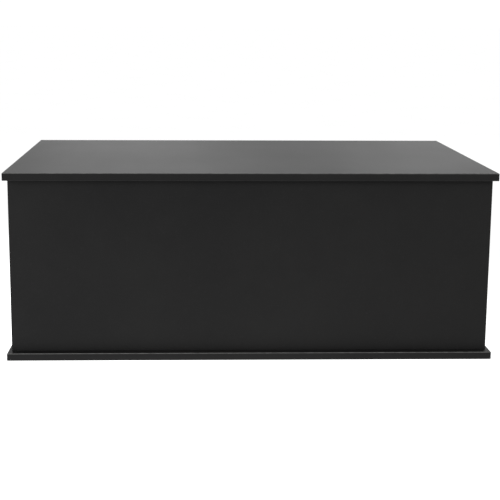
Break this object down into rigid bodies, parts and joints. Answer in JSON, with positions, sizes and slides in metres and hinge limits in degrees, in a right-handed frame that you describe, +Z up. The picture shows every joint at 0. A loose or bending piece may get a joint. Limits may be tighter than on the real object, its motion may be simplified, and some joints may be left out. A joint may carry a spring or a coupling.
{
  "type": "lift top coffee table",
  "caption": "Long low storage chest on an overhanging base board, with a flat overhanging lid that lifts up and forward on parallel arms.",
  "frame": {"origin": "on the floor under the middle of the table", "axes": "+X to the right along the length, +Y from the front to the back, +Z up; the lid lifts towards -Y"},
  "size_m": [1.02, 0.6, 0.4],
  "materials": {
    "black_laminate": "satin black melamine on particle board",
    "black_steel": "semi-gloss black paint on pressed steel",
    "zinc_plate": "bright zinc plate",
    "cast_zinc": "plain cast zinc",
    "black_plastic": "matte black",
    "grey_rubber": "matte dark grey"
  },
  "bodies": {
    "chest": {"base_panel": "black_laminate", "front_panel": "black_laminate", "back_panel": "black_laminate", "left_side_panel": "black_laminate", "right_side_panel": "black_laminate", "center_divider": "black_laminate", "foot_front_left": "black_plastic", "foot_front_middle": "black_plastic", "foot_front_right": "black_plastic", "foot_back_left": "black_plastic", "foot_back_middle": "black_plastic", "foot_back_right": "black_plastic", "bumper_front_left": "grey_rubber", "bumper_front_right": "grey_rubber", "bumper_back_left": "grey_rubber", "bumper_back_right": "grey_rubber", "cam_left_1": "cast_zinc", "cam_left_2": "cast_zinc", "cam_left_3": "cast_zinc", "cam_left_4": "cast_zinc", "cam_right_1": "cast_zinc", "cam_right_2": "cast_zinc", "cam_right_3": "cast_zinc", "cam_right_4": "cast_zinc", "left_base_bracket": "black_steel", "left_front_lower_rivet": "zinc_plate", "left_rear_lower_rivet": "zinc_plate", "left_bracket_screw_1": "zinc_plate", "left_bracket_screw_2": "zinc_plate", "left_bracket_screw_3": "zinc_plate", "left_bracket_screw_4": "zinc_plate", "right_base_bracket": "black_steel", "right_front_lower_rivet": "zinc_plate", "right_rear_lower_rivet": "zinc_plate", "right_bracket_screw_1": "zinc_plate", "right_bracket_screw_2": "zinc_plate", "right_bracket_screw_3": "zinc_plate", "right_bracket_screw_4": "zinc_plate"},
    "lid": {"lid_panel": "black_laminate", "left_lid_rail": "black_steel", "left_front_upper_rivet": "zinc_plate", "left_rear_upper_rivet": "zinc_plate", "left_rail_screw_1": "zinc_plate", "left_rail_screw_2": "zinc_plate", "left_rail_screw_3": "zinc_plate", "left_rail_screw_4": "zinc_plate", "right_lid_rail": "black_steel", "right_front_upper_rivet": "zinc_plate", "right_rear_upper_rivet": "zinc_plate", "right_rail_screw_1": "zinc_plate", "right_rail_screw_2": "zinc_plate", "right_rail_screw_3": "zinc_plate", "right_rail_screw_4": "zinc_plate"},
    "left_front_arm": {"left_front_arm": "black_steel"},
    "left_rear_arm": {"left_rear_arm": "black_steel"},
    "left_spring": {"left_spring": "zinc_plate"},
    "right_front_arm": {"right_front_arm": "black_steel"},
    "right_rear_arm": {"right_rear_arm": "black_steel"},
    "right_spring": {"right_spring": "zinc_plate"}
  },
  "joints": [
    {"name": "lift", "type": "hinge", "parent": "chest", "child": "left_front_arm", "pos_m": [-0.4806, -0.09519, 0.31326], "axis": [1, 0, 0], "range_deg": [0, 108]},
    {"name": "left_rear_arm_swing", "type": "hinge", "parent": "chest", "child": "left_rear_arm", "pos_m": [-0.4806, -0.00519, 0.30126], "axis": [1, 0, 0], "range_deg": [0, 108]},
    {"name": "right_front_arm_swing", "type": "hinge", "parent": "chest", "child": "right_front_arm", "pos_m": [0.4806, -0.09519, 0.31326], "axis": [1, 0, 0], "range_deg": [0, 108]},
    {"name": "right_rear_arm_swing", "type": "hinge", "parent": "chest", "child": "right_rear_arm", "pos_m": [0.4806, -0.00519, 0.30126], "axis": [1, 0, 0], "range_deg": [0, 108]},
    {"name": "lid_level", "type": "hinge", "parent": "left_front_arm", "child": "lid", "pos_m": [-0.4806, 0.12, 0.359], "axis": [1, 0, 0], "range_deg": [-108, 0]},
    {"name": "left_spring_swing", "type": "hinge", "parent": "chest", "child": "left_spring", "pos_m": [-0.476, 0.03481, 0.23726], "axis": [1, 0, 0], "range_deg": [-17.6, 0], "deforming": ["left_spring"]},
    {"name": "right_spring_swing", "type": "hinge", "parent": "chest", "child": "right_spring", "pos_m": [0.476, 0.03481, 0.23726], "axis": [1, 0, 0], "range_deg": [-17.6, 0], "deforming": ["right_spring"]}
  ],
  "couplings": [
    {"joint": "left_rear_arm_swing", "follows": "lift", "ratio": 1},
    {"joint": "right_front_arm_swing", "follows": "lift", "ratio": 1},
    {"joint": "right_rear_arm_swing", "follows": "lift", "ratio": 1},
    {"joint": "lid_level", "follows": "lift", "ratio": -1},
    {"joint": "left_spring_swing", "follows": "lift", "ratio": -0.1593},
    {"joint": "right_spring_swing", "follows": "lift", "ratio": -0.1593}
  ]
}
